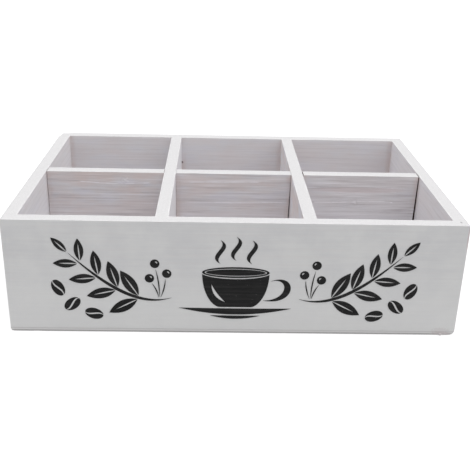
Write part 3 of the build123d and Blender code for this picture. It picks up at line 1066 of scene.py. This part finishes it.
leftLong = {
    "name": "leftLongDivider",
    "node": "left_long_divider",
    "plank": (0.52, 0.61, 0.19),
    "edges": dividerEdges,
    "raw": "ends",
    "wood": {"Knot": at(-84.7, -4.5, 76.0), "Warmth": 0.9, "Streaks": 1.0},
    "ridges": [(at(-120.0, -4.5, 74.7), at(-64.0, -4.5, 74.3), 1.5 * mm, 0.8)],
    "knots": [(at(-84.7, -4.5, 76.0), "Strokes")],
}
makeBoard(leftLong)

middleLong = {
    "name": "middleLongDivider",
    "node": "middle_long_divider",
    "plank": (1.94, 0.22, 0.41),
    "edges": dividerEdges,
    "footBack": 2.2 * mm,
    "raw": "ends",
    "rawShare": 0.1,
    "wood": {"Warmth": 0.65, "Streaks": 0.9},
    "ridges": [
        (at(-42.0, -4.5, 75.0), at(21.0, -4.5, 75.9), 0.0, 0.7),
        (at(-39.0, -4.5, 58.4), at(44.0, -4.5, 59.5), 0.0, 0.95),
    ],
}
makeBoard(middleLong)

rightLong = {
    "name": "rightLongDivider",
    "node": "right_long_divider",
    "plank": (2.81, 0.08, 0.33),
    "edges": dividerEdges,
    "headBack": 0.2 * mm,
    "footBack": 1.9 * mm,
    "raw": "ends",
    "wood": {"Knot": at(94.8, -4.5, 60.6), "Warmth": 0.25, "Streaks": 1.1},
    "ridges": [
        (at(62.0, -4.5, 60.2), at(96.0, -4.5, 60.6), 0.0, 0.95),
        (at(96.0, -4.5, 61.2), at(119.0, -4.5, 61.4), 0.0, 0.95),
        (at(114.0, -4.5, 61.5), at(125.0, -4.5, 60.7), 0.0, 1.0),
        (at(80.0, -4.5, 68.6), at(128.0, -4.5, 69.2), 0.0, 0.35),
    ],
    "knots": [(at(94.8, -4.5, 60.6), "Eye")],
    "marks": [
        (at(98.0, -4.5, 70.8), at(44.0, 1.5, 2.8), 0.12, 0.22, "bareWood"),
        (at(97.0, -4.5, 72.9), at(42.0, 1.5, 0.8), 0.2, 0.35, "insideDark"),
    ],
}
makeBoard(rightLong)


# The ply sheet: painted edges with painted shade along their foot, and a bare underside with overspray
# round it

ply = {
    "edge": screenColour(228, 227, 227),
    # painted shade along the foot of the edges
    "foot": screenColour(175, 173, 174),
    "veneer": screenColour(216, 195, 164),
    "veneerDark": screenColour(194, 168, 134),
    "edgeFacing": (0.8, 0.5),                   # how squarely a surface faces up or down
    "underFacing": (-0.35, -0.8),
    "seam": (0.8 * mm, 0.4 * mm), "seamStrength": 0.4,      # depths under the sheet's top
    "footShadeZone": (1.6 * mm, 0.9 * mm),
    "ringSpacing": 11 * mm, "ringStrength": 0.4,
    "fibre": (0.35, 0.65),
    "cloudSize": 9 * mm,
    "overspray": 13 * mm, "sprayMost": 2, "sprayLess": -0.3,
    "spray": (1.0, 0.1), "sprayStrength": 0.85,
}


def plyCoat(tree, coordinates, colour):
    place = coordinates["Object"]
    parts = splitAxes(tree, place)
    facing = splitAxes(tree, coordinates["Normal"])["Z"]
    edge = fade(tree, maths(tree, "ABSOLUTE", facing), *ply["edgeFacing"])
    colour = blendColour(tree, edge, colour, ply["edge"])
    # Painted shadow line at the seam under the boards
    seam = [baseHigh.z - depth for depth in ply["seam"]]
    seam = fade(tree, parts["Z"], *seam, 0.0, ply["seamStrength"])
    colour = tint(tree, colour, edge, seam, paint["jointShade"])
    # Painted shade along the foot of the ply's edges, where they meet the floor
    foot = fade(tree, parts["Z"], *ply["footShadeZone"])
    colour = tint(tree, colour, edge, foot, ply["foot"])
    grain = useGroup(tree, boardGrain, {"Place": place, "Along": place, "Spacing": ply["ringSpacing"]})
    coat = useGroup(tree, driedPaint, {"Place": place, "Cloud Size": ply["cloudSize"]})
    fibre = fade(tree, grain["Fibre"], *ply["fibre"])
    veneer = blendColour(tree, fibre, ply["veneer"], ply["veneerDark"])
    veneer = tint(tree, veneer, grain["Lines"], ply["ringStrength"], ply["veneerDark"])
    margins = [
        maths(tree, "SUBTRACT", limit, maths(tree, "ABSOLUTE", parts[axis]))
        for axis, limit in (("X", boxHigh.x), ("Y", boxHigh.y))
    ]
    most, less = ply["sprayMost"] * ply["overspray"], ply["sprayLess"] * ply["overspray"]
    reach = maths(tree, "MULTIPLY_ADD", coat["Clouds"], most, less)
    spray = maths(tree, "DIVIDE", maths(tree, "MINIMUM", *margins), reach)
    spray = fade(tree, spray, *ply["spray"])
    veneer = tint(tree, veneer, spray, ply["sprayStrength"], paint["outside"])
    return blendColour(tree, fade(tree, facing, *ply["underFacing"]), colour, veneer)


plyBase = {
    "name": "plyBase",
    "node": "base_panel",
    "plank": (0.09, 0.44, 0.55),
    "edges": {
        ("front", "left"): "front", ("front", "right"): "front",
        ("back", "left"): "wornCorner", ("back", "right"): "outer",
        ("front", "under"): "foot", ("back", "under"): "foot",
        ("left", "under"): "footCorner", ("right", "under"): "footCorner",
    },
    "slot": "base_ply",
    "coat": plyCoat,
    "dents": [
        (at(139.4, -103.25, 1.5), 1.0 * mm, at(0.0, -0.2, 0.0)),
        (at(143.2, -103.25, 0.4), 1.3 * mm, at(0.0, -0.9, -0.35)),
        (at(146.2, -103.25, 1.1), 1.1 * mm, at(0.0, -0.25, 0.0)),
        (at(-153.0, -103.2, 0.0), 3.0 * mm, at(0.4, 0.0, 0.2)),
        (at(153.0, -103.2, 0.0), 3.6 * mm, at(-0.8, 0.0, 0.7)),
    ],
    "marks": [(at(143.0, -103.2, 1.2), at(7.5, 2.0, 2.6), 0.5, 0.7, "chipped")],
}
makeBoard(plyBase)


# Fixings and the motif keep their own solids and get a finish

steel = {
    "colour": screenColour(178, 179, 182),
    "dull": screenColour(120, 112, 104),
    "dullClouds": (0.4, 0.7),
    "cloudSize": 3 * mm, "speckSize": 0.25 * mm,
    "roughness": (0.3, 0.7, 0.28, 0.5),         # from and to for the clouds, then for the roughness
    "bump": 0.03 * mm, "bumpStrength": 0.4,
    "metallic": 1.0,
}
ink = {
    "black": screenColour(22, 22, 23),
    "faded": screenColour(46, 45, 45),
    "fadedFibre": (0.4, 0.75),
    "fleck": screenColour(112, 112, 112),
    "fleckSize": 0.9 * mm, "flecks": (0.68, 0.74),
    "roughness": (0.3, 0.7, 0.5, 0.66),
    "bump": 0.05 * mm, "coatHeight": 0.3,
    "specular": 0.3,
}


def steelFinish():
    material, tree, shader = startMaterial("bradSteel")
    place = addNode(tree, "TexCoord").outputs["Object"]
    inputs = {"Place": place, "Cloud Size": steel["cloudSize"], "Speck Size": steel["speckSize"]}
    coat = useGroup(tree, driedPaint, inputs)
    dull = fade(tree, coat["Clouds"], *steel["dullClouds"])
    colour = blendColour(tree, dull, steel["colour"], steel["dull"])
    rough = fade(tree, coat["Clouds"], *steel["roughness"])
    fillShader(tree, shader, colour, rough, coat["Height"], steel["bump"], steel["bumpStrength"])
    shader["Metallic"].default_value = steel["metallic"]
    return material


def inkFinish():
    # Black paint thin enough that the front board's grain shows in it
    material, tree, shader = startMaterial("blackPaint")
    place = addNode(tree, "TexCoord").outputs["Object"]
    along = addNode(tree, "Mapping", {"Vector": place, "Location": frontBoard["plank"]}).outputs["Vector"]
    grain = useGroup(tree, boardGrain, {"Place": place, "Along": along})
    coat = useGroup(tree, driedPaint, {"Place": place, "Speck Size": ink["fleckSize"]})
    faded = fade(tree, grain["Fibre"], *ink["fadedFibre"])
    colour = blendColour(tree, faded, ink["black"], ink["faded"])
    colour = blendColour(tree, fade(tree, coat["Specks"], *ink["flecks"]), colour, ink["fleck"])
    coatHeight = times(tree, coat["Height"], ink["coatHeight"])
    height = maths(tree, "ADD", grain["Height"], coatHeight)
    rough = fade(tree, coat["Clouds"], *ink["roughness"])
    fillShader(tree, shader, colour, rough, height, ink["bump"])
    shader["Specular IOR Level"].default_value = ink["specular"]
    return material


def dressNode(node, material):
    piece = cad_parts[node]
    piece.data.materials.clear()
    piece.data.materials.append(material)


bradSteel = steelFinish()
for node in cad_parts:
    if node.endswith("_brads"):
        dressNode(node, bradSteel)
dressNode("front_print", inkFinish())
print("fixings and motif finished")
